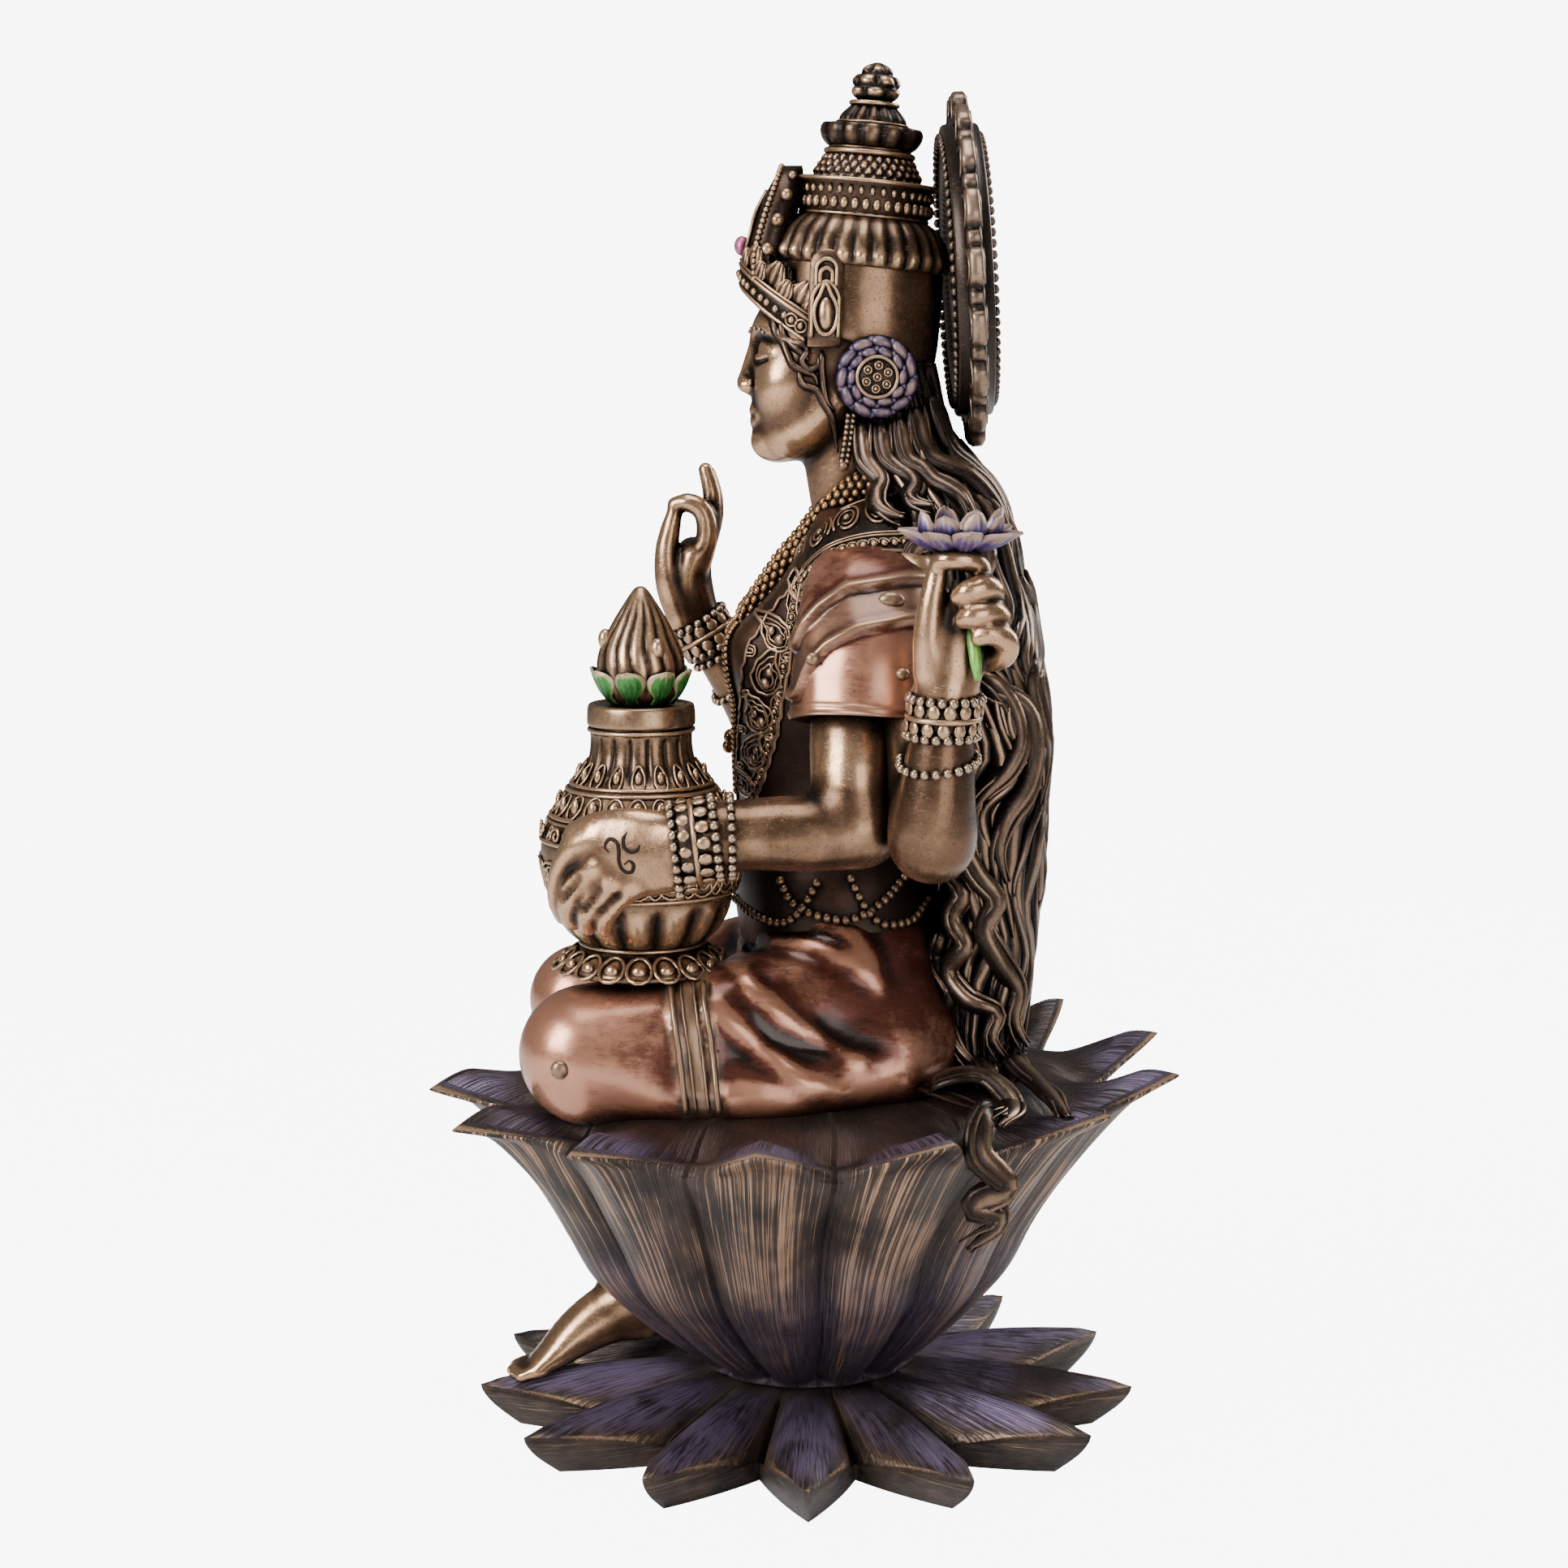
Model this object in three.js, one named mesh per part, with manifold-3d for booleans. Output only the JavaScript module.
// A seated four-armed goddess on a double lotus, a cold-cast bronze table figure.
// Millimetres, +Z up, she faces -Y and her left side is +X.
// The origin is on the underside of the base, on the axis of the lotus.
import * as THREE from "three";
import { mergeVertices } from "three/addons/utils/BufferGeometryUtils.js";
import Module from "manifold-3d";

const wasm = await Module();
wasm.setup();

// Driving sizes
const fitGap = 0.35; // clearance between pieces that touch

const petalCount = 13; // petals in each lotus whorl
const baseTipRadius = 70.5; // axis to the tip of a base petal
const baseNotchRadius = 40; // axis to the notch between two base petals
const baseFootInset = 10; // how far the underside stops short of the petal tip
const baseTipHeight = 7.5; // top of a base petal near its tip
const hubRadius = 20; // flat top of the base, which carries the bowl
const hubHeight = 12.5; // underside of the base to that flat top

const bowlHeight = 66; // bowl's underside to the seat
const bowlRadius = 62; // axis to the notch between two bowl petals
const bowlTipRadius = 78; // axis to the tip of a curled bowl petal
const bowlGroove = 4; // depth of the groove between two bowl petals
const bowlForward = 2.6; // how far the bowl's body bulges forward of the base's middle
const seatRadius = 50; // flat seat inside the petals
const petalDroop = 8; // how much lower the tips under her knees hang
const bowlTurn = -7.3; // degrees that the bowl's petals are turned about the axis
const legPetal = -4; // the bowl petal that the hanging leg presses flat, from the +X one

const figureHeight = 201; // seat to the tip of the crown

const haloRadius = 35.4; // axis to the scalloped edge of the halo
const haloThickness = 3; // scalloped plate
const haloBossThickness = 8.6; // over the beaded rings on both faces
const haloBeadRadius = 26.6; // radius of those rings
const haloDish = 1.4; // how far the engraved middle lies below the beads
const haloNotch = 2.2; // depth of the notches between the scallops
const haloScallops = 18;

const potHeight = 53; // foot to the top of the mouth
const potBellyRadius = 20.6;
const potMouthRadius = 10.7;
const potFootRadius = 17;
const coconutRadius = 8.8;
const coconutHeight = 23.5; // mouth of the pot to the coconut's tip
const potFlutes = 9;

const stemRadius = 1.3; // stem of the lotus that each rear hand holds
const stemLength = 25;
const handLotusRadius = 12.3;
const handLotusHeight = 7;
const handLotusPetals = 8;

const crownFlutes = 9;

// Heights that follow from the driving sizes
const bowlBottom = hubHeight + fitGap;
const seatHeight = bowlBottom + bowlHeight;
const unit = figureHeight / 200; // the figure's own unit of length

const V = (x, y, z) => new THREE.Vector3(x, y, z);
const mix = THREE.MathUtils.lerp;
const rad = THREE.MathUtils.degToRad;

// A point of the figure, in its own units above the middle of the seat.
const onFigure = ([x, y, z]) => V(x * unit, y * unit, seatHeight + z * unit);

const mirrored = (stations, side) => stations.map(([x, ...rest]) => [side * x, ...rest]);

// Solids from geometry, and geometry from solids

function solid(geometry) {
  const bare = geometry.index ? geometry.toNonIndexed() : geometry.clone();
  bare.deleteAttribute("normal");
  bare.deleteAttribute("uv");
  const merged = mergeVertices(bare, 1e-4);
  const vertProperties = merged.attributes.position.array;
  const triVerts = new Uint32Array(merged.index.array);
  const made = new wasm.Manifold(new wasm.Mesh({ numProp: 3, vertProperties, triVerts }));
  if (made.volume() > 0) return made;
  triVerts.reverse(); // turns an inside-out skin outward
  return new wasm.Manifold(new wasm.Mesh({ numProp: 3, vertProperties, triVerts }));
}

const joined = (solids) => solids.reduce((a, b) => a.add(b));

const cutBy = (solids, from) => solids.reduce((a, b) => a.subtract(b), from);

const largest = (made) =>
  made.decompose().reduce((a, b) => (b.volume() > a.volume() ? b : a));

function meshOf(name, made, color, roughness = 0.42) {
  const { vertProperties, triVerts } = made.getMesh();
  const geometry = new THREE.BufferGeometry();
  geometry.setAttribute("position", new THREE.Float32BufferAttribute(vertProperties, 3));
  geometry.setIndex(Array.from(triVerts));
  geometry.computeVertexNormals();
  const material = new THREE.MeshStandardMaterial({ color, roughness, metalness: 0.75 });
  const mesh = new THREE.Mesh(geometry, material);
  mesh.name = name;
  return mesh;
}

// A closed skin over rings of equal length, from one end point to the other.
function skin(rings, first, last) {
  const n = rings[0].length;
  const at = (ring, i) => 1 + ring * n + (i % n);
  const end = 1 + rings.length * n;
  const faces = [];
  for (let i = 0; i < n; i++) {
    faces.push(0, at(0, i + 1), at(0, i));
    faces.push(end, at(rings.length - 1, i), at(rings.length - 1, i + 1));
    for (let r = 0; r + 1 < rings.length; r++) {
      faces.push(at(r, i), at(r, i + 1), at(r + 1, i));
      faces.push(at(r, i + 1), at(r + 1, i + 1), at(r + 1, i));
    }
  }
  const geometry = new THREE.BufferGeometry().setFromPoints([first, ...rings.flat(), last]);
  geometry.setIndex(faces);
  return solid(geometry);
}

// A tapered limb through stations [x, y, z, half width, half depth]. The width lies
// along the direction called wide, and an end is blunt where round names it.
function limb(stations, { sides = 7, wide = [1, 0, 0], round = [false, false] } = {}) {
  const path = new THREE.CatmullRomCurve3(stations.map(onFigure), false, "centripetal");
  const sizes = stations.map(([, , , a, b = a]) => [a * unit, b * unit]);
  const last = stations.length - 1;
  const [blunt, inset] = [0.66, 0.7]; // size and distance of the ring that rounds an end
  const ringAt = (k, scale, shift) => {
    const along = path.getTangent(k / last).normalize();
    const across = V(...wide).addScaledVector(along, -along.dot(V(...wide))).normalize();
    const up = V().crossVectors(along, across);
    const [a, b] = sizes[k];
    const centre = path.getPoint(k / last).addScaledVector(along, shift * Math.min(a, b));
    return Array.from({ length: sides }, (_, i) => {
      const turn = (i / sides) * 2 * Math.PI;
      return centre
        .clone()
        .addScaledVector(across, Math.cos(turn) * a * scale)
        .addScaledVector(up, Math.sin(turn) * b * scale);
    });
  };
  const tip = (k, side) =>
    path.getPoint(k / last).addScaledVector(
      path.getTangent(k / last).normalize(),
      side * Math.min(...sizes[k]),
    );
  const rings = stations.map((_, k) => ringAt(k, 1, 0));
  if (round[0]) rings.unshift(ringAt(0, blunt, -inset));
  if (round[1]) rings.push(ringAt(last, blunt, inset));
  return skin(rings, tip(0, -1), tip(last, 1));
}

function ellipsoid([x, y, z], [a, b, c], wide = 8, tall = 6) {
  const geometry = new THREE.SphereGeometry(1, wide, tall);
  geometry.rotateX(Math.PI / 2);
  geometry.scale(a * unit, b * unit, c * unit);
  geometry.translate(...onFigure([x, y, z]));
  return solid(geometry);
}

// A turned piece whose profile changes round it, closed on the axis at both ends.
// profileAt gives [radius, height] pairs from a share that is 0 on a petal's middle
// line and 1 in the groove beside it, and from the angle.
function petalled(count, perPetal, phase, profileAt, shift = () => 0) {
  const columns = Array.from({ length: count * perPetal }, (_, i) => {
    const share = Math.abs(2 * ((i / perPetal + 0.5) % 1) - 1);
    const angle = rad(phase) + (i / perPetal) * ((2 * Math.PI) / count);
    return profileAt(share, angle).map(([r, z]) =>
      V(r * Math.cos(angle), r * Math.sin(angle) + shift(z), z),
    );
  });
  const rows = columns[0].map((_, row) => columns.map((column) => column[row]));
  return skin(rows.slice(1, -1), rows[0][0], rows.at(-1)[0]);
}

// The base: a flat whorl of thick petals

function basePetals(grow = 0) {
  const profileAt = (share) => {
    const reach = 1 - share ** 1.4;
    const rim = mix(baseNotchRadius, baseTipRadius, reach) + grow;
    const foot = mix(baseNotchRadius, baseTipRadius - baseFootInset, reach);
    const drop = 0.4 * hubHeight * share ** 1.5; // the gaps between petals lie lower
    return [
      [0, hubHeight + grow],
      [hubRadius, hubHeight + grow],
      [mix(hubRadius, rim, 0.5), mix(hubHeight, baseTipHeight, 0.3) - drop + grow],
      [rim - 1.5, baseTipHeight - 0.6 * drop + grow],
      [rim, 0.65 * baseTipHeight - 0.6 * drop],
      [foot, 0],
      [0, 0],
    ];
  };
  return petalled(petalCount, 4, 0, profileAt);
}

// The bowl: tall petals with curled tips round the seat

// Share of the bowl's height, and its radius on a petal's middle line as a share.
const bowlSide = [
  [0, 0.37],
  [0.04, 0.42],
  [0.13, 0.53],
  [0.24, 0.64],
  [0.35, 0.74],
  [0.51, 0.83],
  [0.66, 0.93],
];

// The same pairs for the lip, in the notch between two petals and along a petal's tip.
const notchLip = [[0.78, 0.99], [0.83, 1], [0.86, 1], [0.9, 0.96]];
const tipLip = [[0.87, 0.45], [0.95, 0.88], [0.995, 1], [0.985, 0.35]];

function bowlPetals(grow = 0) {
  const pitch = (2 * Math.PI) / petalCount;
  const profileAt = (share, angle) => {
    const plump = Math.cos((share * Math.PI) / 2) ** 0.7;
    const petal = Math.round((angle - rad(bowlTurn)) / pitch);
    const horn = petal === legPetal + petalCount ? 0 : (1 - share) ** 1.2;
    const droop = petalDroop * Math.max(0, -Math.sin(angle)) * horn;
    const height = (s) => bowlBottom + s * bowlHeight;
    const side = bowlSide.map(([s, r]) => [
      r * bowlRadius - (1 - plump) * bowlGroove * Math.min(1, s / 0.04) + grow,
      height(s) - (s ? 0 : grow),
    ]);
    const lip = notchLip.map(([sNotch, rNotch], i) => {
      const [sTip, reach] = tipLip[i];
      const tip = mix(bowlRadius, bowlTipRadius, reach);
      return [
        mix(rNotch * bowlRadius, tip, horn) + grow,
        height(mix(sNotch, sTip, horn)) - droop * Math.max(reach, 0.5) + (i > 1 ? grow : 0),
      ];
    });
    return [
      [0, bowlBottom - grow],
      ...side,
      ...lip,
      [seatRadius, seatHeight + grow],
      [0, seatHeight + grow],
    ];
  };
  const lean = (z) => -bowlForward * Math.sin((Math.PI * (z - bowlBottom)) / bowlHeight);
  return petalled(petalCount, 4, bowlTurn, profileAt, lean);
}

// The halo: a scalloped plate with a beaded ring on each face

const haloCentre = [0, 31.7, 159.2]; // middle of the plate, in figure units
const haloTilt = 3.7; // degrees that its top leans forward

function halo(grow = 0) {
  const half = haloThickness / 2 + grow;
  const boss = haloBossThickness / 2 + grow;
  const beadWidth = 3;
  const face = [
    [haloBeadRadius - beadWidth / 2, boss - haloDish],
    [haloBeadRadius, boss],
    [haloBeadRadius + beadWidth / 2, half],
  ];
  const profileAt = (share) => {
    const edge = haloRadius + grow - haloNotch * share;
    return [
      [0, boss - haloDish],
      ...face,
      [edge, half],
      [edge, -half],
      ...face.map(([r, z]) => [r, -z]).reverse(),
      [0, haloDish - boss],
    ];
  };
  const plate = petalled(haloScallops, 2, 90, profileAt);
  const { x, y, z } = onFigure(haloCentre);
  const stand = new THREE.Matrix4()
    .makeTranslation(x, y, z)
    .multiply(new THREE.Matrix4().makeRotationX(rad(90 + haloTilt)));
  return plate.transform(stand.elements);
}

// The water pot, with mango leaves and a coconut in its mouth

const potPlace = [22, -32.6, 21.8]; // middle of the pot's foot, in figure units

// Share of the pot's height, radius, and depth of the fluting.
const potSide = [
  [0, potFootRadius, 0.9],
  [0.1, 0.6 * potBellyRadius, 0],
  [0.17, 0.74 * potBellyRadius, 0.8],
  [0.29, 0.92 * potBellyRadius, 0.5],
  [0.44, potBellyRadius, 0],
  [0.57, 0.95 * potBellyRadius, 0],
  [0.66, 0.78 * potBellyRadius, 0.4],
  [0.73, 0.62 * potBellyRadius, 0.8],
  [0.82, 0.92 * potMouthRadius, 0.7],
  [0.9, 0.92 * potMouthRadius, 0],
  [0.92, potMouthRadius, 0],
  [1, potMouthRadius, 0],
];

// The same for the leaves and the coconut, as shares of the coconut's size.
const coconutSide = [
  [0.01, 0.8, 0],
  [0.36, 1.2, 0.2],
  [0.38, 0.98, 0],
  [0.62, 0.62, 0],
  [0.85, 0.32, 0],
];

function waterPot(grow = 0) {
  const { x, y, z } = onFigure(potPlace);
  const mouth = z + potHeight;
  const profileAt = (share) => [
    [0, z - grow],
    ...potSide.map(([s, r, dent]) => [
      r + grow - dent * share,
      z + s * potHeight - (s ? 0 : grow),
    ]),
    ...coconutSide.map(([s, r, dent]) => [
      (r - dent * share) * coconutRadius + grow,
      mouth + s * coconutHeight,
    ]),
    [0, mouth + coconutHeight + grow],
  ];
  return petalled(potFlutes, 2, 0, profileAt).translate(x, y, 0);
}

// The lotus in a rear hand: an open flower on a straight stem

const stemFoot = [60.5, 29.5, 83]; // lower end of the left stem, in figure units
const stemLean = 2; // degrees outward

function stemOf(side, radius) {
  const geometry = new THREE.CylinderGeometry(radius, radius, stemLength, 6);
  geometry.rotateX(Math.PI / 2);
  return solid(geometry.translate(0, 0, stemLength / 2)).transform(stemPlace(side));
}

function stemPlace(side) {
  const [x, y, z] = stemFoot;
  const foot = onFigure([side * x, y, z]);
  return new THREE.Matrix4()
    .makeTranslation(foot.x, foot.y, foot.z)
    .multiply(new THREE.Matrix4().makeRotationY(side * rad(stemLean))).elements;
}

function handLotus(side) {
  const top = stemLength + handLotusHeight;
  const narrow = (share, notch) => handLotusRadius * (1 - notch * share);
  const flower = petalled(handLotusPetals, 2, 10, (share) => [
    [0, stemLength - 1.2],
    [0.3 * handLotusRadius, stemLength - 0.6],
    [0.72 * narrow(share, 0.3), stemLength + 1.2],
    [narrow(share, 0.45), stemLength + 3.4],
    [0.62 * narrow(share, 0.2), stemLength + 3.2],
    [0.55 * narrow(share, 0.15), top - 2 * share],
    [0.34 * handLotusRadius, stemLength + 3.6],
    [0, stemLength + 3.6],
  ]);
  return stemOf(side, stemRadius).add(flower.transform(stemPlace(side)));
}

// The figure's body

// Height, middle of the depth, half width and half depth, in figure units.
const torsoSections = [
  [-2, 13, 28, 24],
  [14, 11, 28, 22],
  [33, 5.5, 24.6, 20.2],
  [36, 5, 23, 18.6],
  [52, 4, 21, 17.8],
  [66, 4, 22.5, 18.6],
  [80, 4.5, 25.5, 20],
  [91, 5.5, 27, 19.5],
  [98, 7.5, 25, 17],
  [103.5, 9.5, 18, 13],
  [107.5, 11, 11, 10],
];

function torso() {
  const sides = 12;
  const rings = torsoSections.map(([z, y, a, b]) =>
    Array.from({ length: sides }, (_, i) => {
      const turn = (i / sides) * 2 * Math.PI;
      return onFigure([a * Math.cos(turn), y + b * Math.sin(turn), z]);
    }),
  );
  const necklace = [[-12, 11, 109], [-11, -2, 101], [0, -11.6, 90], [11, -2, 101], [12, 11, 109]]
    .map((point) => [...point, 3.2, 2.4]);
  return joined([
    skin(rings, onFigure([0, 13, -3]), onFigure([0, 11, 108.5])),
    limb([[0, 11.5, 102, 9.5, 9], [0, 9.5, 113, 8.2, 8.6], [0, 8.5, 124, 8.6, 9]]),
    limb(necklace, { sides: 5 }),
    ...[-1, 1].map((side) => ellipsoid([side * 10, -6, 84.5], [10, 10.5, 10.5])),
  ]);
}

// The head, its flowers at the ears, and the plaques of the diadem

function head() {
  const crest = [[0, -7.6, 151, 9, 5], [0, -7, 163, 8, 5], [0, -4.4, 172, 6, 4], [0, -2.4, 177.5, 3.5, 2.2]];
  const plaque = [[14.6, 3.4, 146, 1.8, 3], [13.4, 3.6, 161, 1.8, 3]];
  const ear = (side) => {
    const disc = new THREE.CylinderGeometry(8.1 * unit, 7 * unit, 4 * unit, 10);
    disc.rotateZ((-side * Math.PI) / 2);
    return solid(disc.translate(...onFigure([side * 15, 13.5, 138])));
  };
  return joined([
    ellipsoid([0, 7.5, 143], [14, 19.3, 19.5], 10, 7),
    limb([[0, 0, 140, 12, 10.5], [0, -2.6, 130, 9.6, 8.8], [0, -4.6, 124.5, 6, 5]], { sides: 10 }),
    limb([[0, -10.8, 148, 1.4], [0, -13, 140.5, 2.3, 2]], { sides: 5 }),
    limb(crest),
    ...[-1, 1].map((side) => limb(mirrored(plaque, side), { sides: 4 })),
    ...[-1, 1].map(ear),
  ]);
}

// Height along the crown's own axis, radius, and depth of the fluting.
const crownSide = [
  [-12, 17.3, 0],
  [8, 17.1, 0],
  [9, 17.6, 1],
  [14, 15.2, 1],
  [17.3, 12.4, 0.4],
  [17.8, 13.2, 0],
  [24.6, 13.3, 0],
  [25.2, 10.2, 0],
  [29, 8.6, 0],
  [30.4, 8.7, 0],
  [31, 7.6, 0.3],
  [35.4, 9.5, 1],
  [35.9, 6.6, 0],
  [39, 4.4, 0.3],
  [40.3, 5, 0],
  [41, 3.4, 0],
  [44, 4.2, 0.5],
  [47, 2.4, 0.3],
];
const crownTip = 48.2;
const crownBack = 5.4; // degrees that the crown leans back
const crownFoot = [0, 9.5, 151.9]; // where its axis passes the brow line

function crown() {
  const turned = petalled(crownFlutes, 2, 0, (share) => [
    [0, crownSide[0][0] * unit],
    ...crownSide.map(([z, r, dent]) => [(r - dent * share) * unit, z * unit]),
    [0, crownTip * unit],
  ]);
  const { x, y, z } = onFigure(crownFoot);
  const stand = new THREE.Matrix4()
    .makeTranslation(x, y, z)
    .multiply(new THREE.Matrix4().makeRotationX(rad(-crownBack)))
    .multiply(new THREE.Matrix4().makeScale(0.9, 1, 1));
  return turned.transform(stand.elements);
}

// Arms and hands

const arm = (upper, lower) => [limb(upper), limb(lower, { round: [true, false] })];

const hand = (palm, fingers, wide) => [
  limb(palm, { wide, round: [false, true] }),
  ...fingers.map((stations) => limb(stations, { sides: 4 })),
];

// A beaded cuff round a wrist.
const bracelet = ([x, y, z], [u, v, w], radius) =>
  limb(
    [[-4.6, 0.9], [-1.8, 2], [1.8, 2], [4.6, 0.9]].map(([s, swell]) => [
      x + s * u,
      y + s * v,
      z + s * w,
      radius + swell,
    ]),
    { wide: [1, 0.01, 0] },
  );

function potArm() {
  const upper = [[30, 12, 98, 8], [38, 9, 76, 7.6], [44.5, 8.5, 56, 7.4]];
  const lower = [[45.5, 9.5, 52, 7.6], [47, -2, 52.5, 7.2], [47, -18, 52.4, 5.8]];
  const palm = [[46, -19, 52.3, 6.5, 3.6], [45.6, -28, 49, 9.2, 3.3], [44, -35, 45.5, 9, 2.9]];
  const fingers = [
    [[43.5, -33, 53, 2.1], [41, -42, 49.5, 2], [36, -48.5, 45.5, 1.7]],
    [[43.5, -38, 46, 2], [40, -44.5, 40.5, 1.9], [35.5, -48.5, 36, 1.6]],
    [[43.5, -37, 42, 2], [40.5, -41.5, 36, 1.9], [36.5, -44.5, 31.5, 1.6]],
    [[43.5, -34, 39.5, 1.9], [41.5, -37, 34, 1.8], [38.5, -39.5, 29.5, 1.5]],
    [[44.5, -30, 40, 1.8], [43.5, -31.5, 35, 1.7], [41.5, -33, 31, 1.4]],
  ];
  const cuff = bracelet([47, -14, 52.5], [0, -1, 0], 5.6);
  return [...arm(upper, lower), ...hand(palm, fingers, [0, 0, 1]), cuff];
}

function raisedArm() {
  const upper = [[-30, 12, 98, 8], [-39, 6, 74, 7.4], [-46, -1, 55, 7]];
  const lower = [[-46.6, -3, 53, 7.2], [-46.3, -11, 65, 6.2], [-44.4, -22, 82, 4.8]];
  const palm = [[-44, -22.5, 84, 4.6, 4.4], [-44, -24.5, 93, 7, 4], [-44, -23.5, 99.5, 7.4, 3.2]];
  const fingers = [
    [[-40, -27, 91, 2.3], [-39, -28.5, 100, 1.9], [-39.5, -27.6, 107.5, 1.6]],
    [[-39.5, -23, 101, 2], [-39.5, -20.8, 108, 1.9], [-40, -26.5, 111, 1.6]],
    [[-42.7, -21.8, 102, 2], [-42.6, -20, 111, 1.9], [-42.8, -22.3, 118, 1.5]],
    [[-45.8, -21.5, 102, 2], [-46, -19.8, 110.5, 1.8], [-46.2, -21, 117, 1.4]],
    [[-48.8, -22, 100, 1.8], [-49.6, -20.4, 107, 1.6], [-50, -20.8, 112.5, 1.3]],
  ];
  const cuff = bracelet([-44.8, -19.8, 78.5], [0.1, -0.55, 0.83], 5);
  return [...arm(upper, lower), ...hand(palm, fingers, [1, 0, 0]), cuff];
}

function rearArm(side) {
  const upper = [[29, 19, 98, 8], [43, 21.5, 76, 7.4], [54, 22.8, 56, 7.4]];
  const lower = [[56.5, 23, 52.5, 7.8], [58.8, 23.6, 63, 7.2], [60, 24.8, 80, 5.2]];
  const palm = [[60, 24.8, 82, 5, 4.4], [60.3, 24.5, 88, 6, 4.2], [60.4, 25.5, 96, 6.2, 3.8]];
  const fingers = [
    [[62, 20.5, 90, 2.6], [62.5, 20.8, 99, 2.3], [62.8, 22.5, 106, 1.8]],
    [[60.5, 30.5, 101, 2], [64.6, 30, 104.5, 1.9], [65.8, 25.4, 105.2, 1.7]],
    [[60.5, 31.5, 97.5, 2], [65.4, 31.5, 100, 1.9], [66.6, 26.8, 99.6, 1.7]],
    [[60.5, 32, 94, 2], [65.6, 32.4, 95.6, 1.9], [66.8, 27.6, 94.8, 1.6]],
    [[60.5, 31.6, 90.5, 1.8], [65.2, 32.8, 91.4, 1.8], [66.6, 29.6, 90.2, 1.5]],
  ];
  const cuff = bracelet([side * 59.8, 24.4, 75], [side * 0.05, 0.06, 1], 5.6);
  return [
    ...arm(mirrored(upper, side), mirrored(lower, side)),
    ...hand(mirrored(palm, side), fingers.map((finger) => mirrored(finger, side)), [0, 1, 0]),
    cuff,
  ];
}

// A sleeve in two draped tiers, over both arms of a side.
function sleeve(side) {
  const tiers = [
    [24, 14, 103, 7, 10.5],
    [32, 12.8, 98.5, 9.4, 13.6],
    [38.4, 11.8, 86, 10.6, 14.4],
    [38.9, 11.6, 84, 9.8, 13.5],
    [41.3, 11.2, 74.5, 10.4, 14.2],
  ];
  return limb(mirrored(tiers, side), { sides: 10 });
}

// Legs in the skirt

function seatedLegs() {
  const leftThigh = [[14, 12, 14, 16], [25, -8, 12, 15], [30, -28, 9.5, 13.8], [31, -43.5, 7, 13.4]];
  const hemBand = [[29.4, -18, 11, 14.9], [30.4, -19, 10.8, 16], [31, -25.5, 10, 15.4], [31, -27, 9.4, 13.9]];
  const leftShin = [[29, -44, 4.5, 10], [10, -40, 4, 9], [-6, -33, 4, 7]];
  const rightThigh = [[-13, 14, 14, 15], [-20, -8, 11, 14], [-23, -30, 6.5, 12.6], [-23.5, -47.5, 5.6, 11.8]];
  const lap = [[0, 12, 10, 30, 18], [0, -12, 6, 28, 13], [2, -32, 1, 22, 8]];
  return [
    limb(leftThigh, { sides: 10, round: [false, true] }),
    limb(hemBand, { sides: 10 }),
    limb(leftShin),
    limb(rightThigh, { sides: 10, round: [false, true] }),
    limb(lap),
  ];
}

// The right leg hangs down the front of the bowl, and its foot stands on a base petal.
// The places along it are shares of the bowl's height and radius, brought into the
// figure's units.
function hangingLeg() {
  const toFigure = ([x, y, z, ...size]) => [
    x / unit,
    y / unit,
    (z - seatHeight) / unit,
    ...size.map((s) => s / unit),
  ];
  const level = (s) => bowlBottom + s * bowlHeight;
  const front = (s, inset) => inset - bowlForward - s * bowlRadius;
  const soleOn = (lift) => mix(hubHeight, baseTipHeight, 0.6) + fitGap + lift;
  const shin = [
    [-24, -49, level(1.02), 10.5],
    [-22.5, -54, level(0.88), 10],
    [-18, front(0.87, 4.6), level(0.63), 8.8],
    [-9, front(0.77, 3.2), level(0.4), 7],
    [1.5, front(0.62, -0.5), level(0.14), 4.9],
  ];
  const foot = [
    [2, front(0.53, 0), soleOn(7.6), 4.6, 4.4],
    [3, front(0.63, 0), soleOn(7.6), 5.2, 5.2],
    [5, front(0.77, 0), soleOn(4.2), 5, 3.6],
    [7, 10.5 - baseTipRadius, soleOn(1.2), 4, 1.6],
  ];
  return [
    limb(shin.map(toFigure), { sides: 9, round: [true, false] }),
    limb(foot.map(toFigure)),
  ];
}

// Hair down the back, and locks that fall over the petals behind

// Height, middle of the depth, half width and half depth, in figure units.
const hairSections = [
  [-2, 35.4, 32, 11],
  [12, 35.4, 29.5, 11.2],
  [34, 36, 28.6, 12.6],
  [68, 35.5, 31, 14.5],
  [86, 32.5, 31, 14.5],
  [100, 29.5, 29, 14],
  [112, 27.5, 24, 14],
  [122, 23, 18, 13.4],
  [124.5, 18, 16.5, 9.6],
  [142, 17, 15, 9.5],
];

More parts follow.
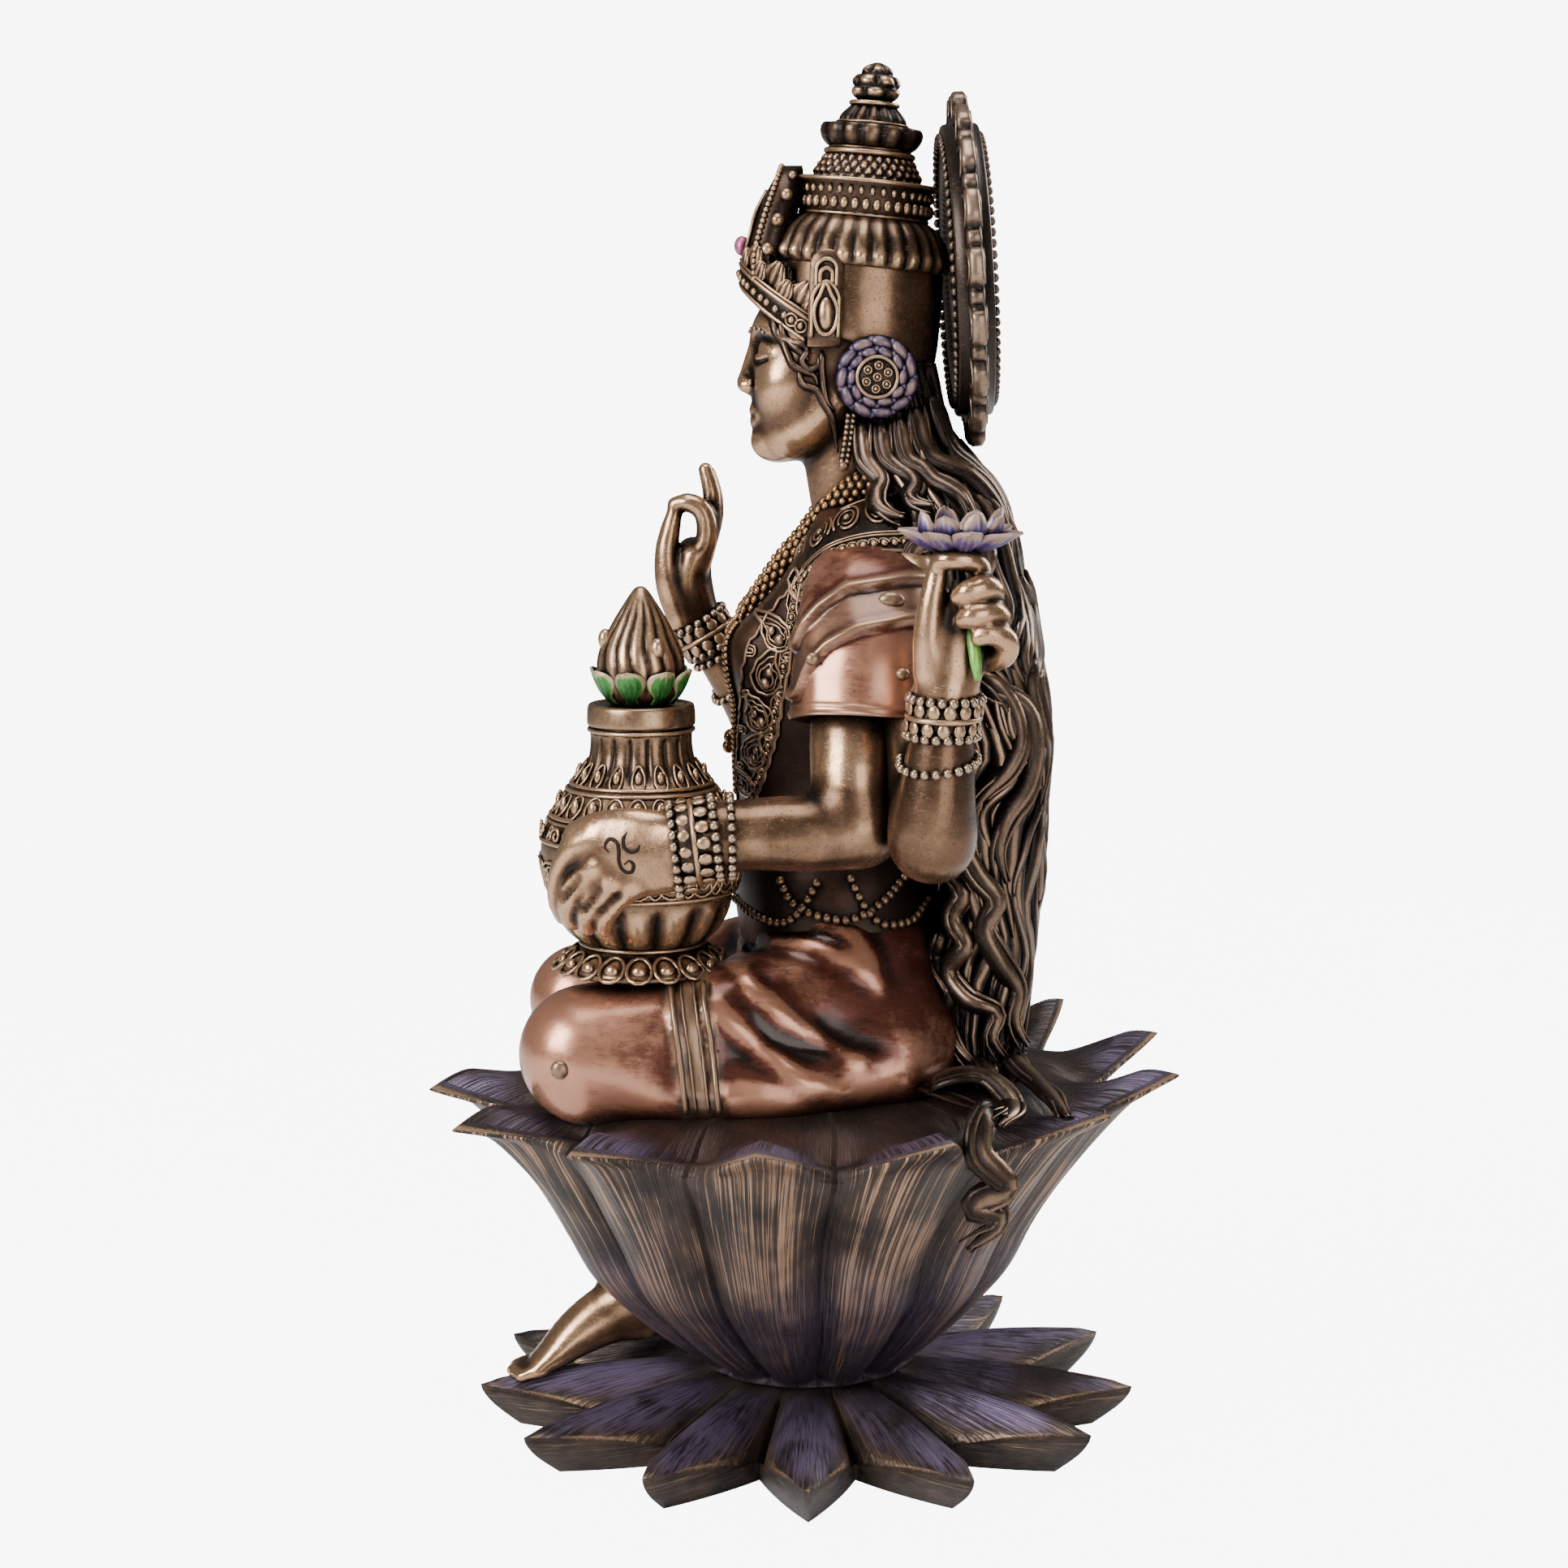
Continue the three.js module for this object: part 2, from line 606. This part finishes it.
function hair() {
  const lobes = 9;
  const wave = 1.1; // height of a lock above the hollows beside it
  const rings = hairSections.map(([z, y, a, b], row) =>
    Array.from({ length: 2 * lobes }, (_, i) => {
      const turn = ((i + 0.5 * (row % 3)) / (2 * lobes)) * 2 * Math.PI;
      const [c, s] = [Math.cos(turn), Math.sin(turn)];
      const squared = Math.max(Math.abs(c), Math.abs(s)) ** -0.35;
      const ridge = i % 2 ? wave : -wave;
      return onFigure([(a * squared + ridge) * c, y + (b * squared + ridge) * s, z]);
    }),
  );
  return skin(rings, onFigure([0, 36, -3]), onFigure([0, 17, 144]));
}

// Locks lie on the bowl: they follow its lip outward and hang down outside it.
function hairLocks() {
  const lock = (degrees, from, width, reach) => {
    const place = (r, z, a, b) => [
      (r * Math.cos(rad(degrees))) / unit,
      (r * Math.sin(rad(degrees))) / unit,
      z / unit,
      a,
      b,
    ];
    const rim = bowlRadius;
    return limb(
      [
        place(from, 1, width, 3.4),
        place(rim - 3, 0, width, 3.4),
        place(rim + reach, -6, 0.8 * width, 3.2),
        place(rim + reach - 6, -23, 0.4 * width, 2.4),
      ],
      { sides: 6, wide: [-Math.sin(rad(degrees)), Math.cos(rad(degrees)), 0] },
    );
  };
  return [lock(30, 40, 5, 5), lock(62, 36, 6, 0), lock(118, 36, 6, 0), lock(147, 40, 5, 3)];
}

function figure() {
  const sides = [-1, 1];
  const whole = joined([
    torso(),
    head(),
    crown(),
    ...potArm(),
    ...raisedArm(),
    ...sides.flatMap((side) => [...rearArm(side), sleeve(side)]),
    ...seatedLegs(),
    ...hangingLeg(),
    hair(),
    ...hairLocks(),
  ]);
  const stems = sides.map((side) => stemOf(side, stemRadius + fitGap));
  const beds = [bowlPetals(fitGap), basePetals(fitGap), waterPot(fitGap), halo(fitGap), ...stems];
  return largest(cutBy(beds, whole));
}

const group = new THREE.Group();
group.add(
  meshOf("base_petals", basePetals(), 0x4a3c3a),
  meshOf("lotus_bowl", bowlPetals(), 0x554743),
  meshOf("goddess", figure(), 0x7b5a3e),
  meshOf("halo", halo(), 0x5d5045),
  meshOf("water_pot", waterPot(), 0x6b5844),
  meshOf("left_hand_lotus", handLotus(1), 0x6d6290),
  meshOf("right_hand_lotus", handLotus(-1), 0x6d6290),
);

export default group;
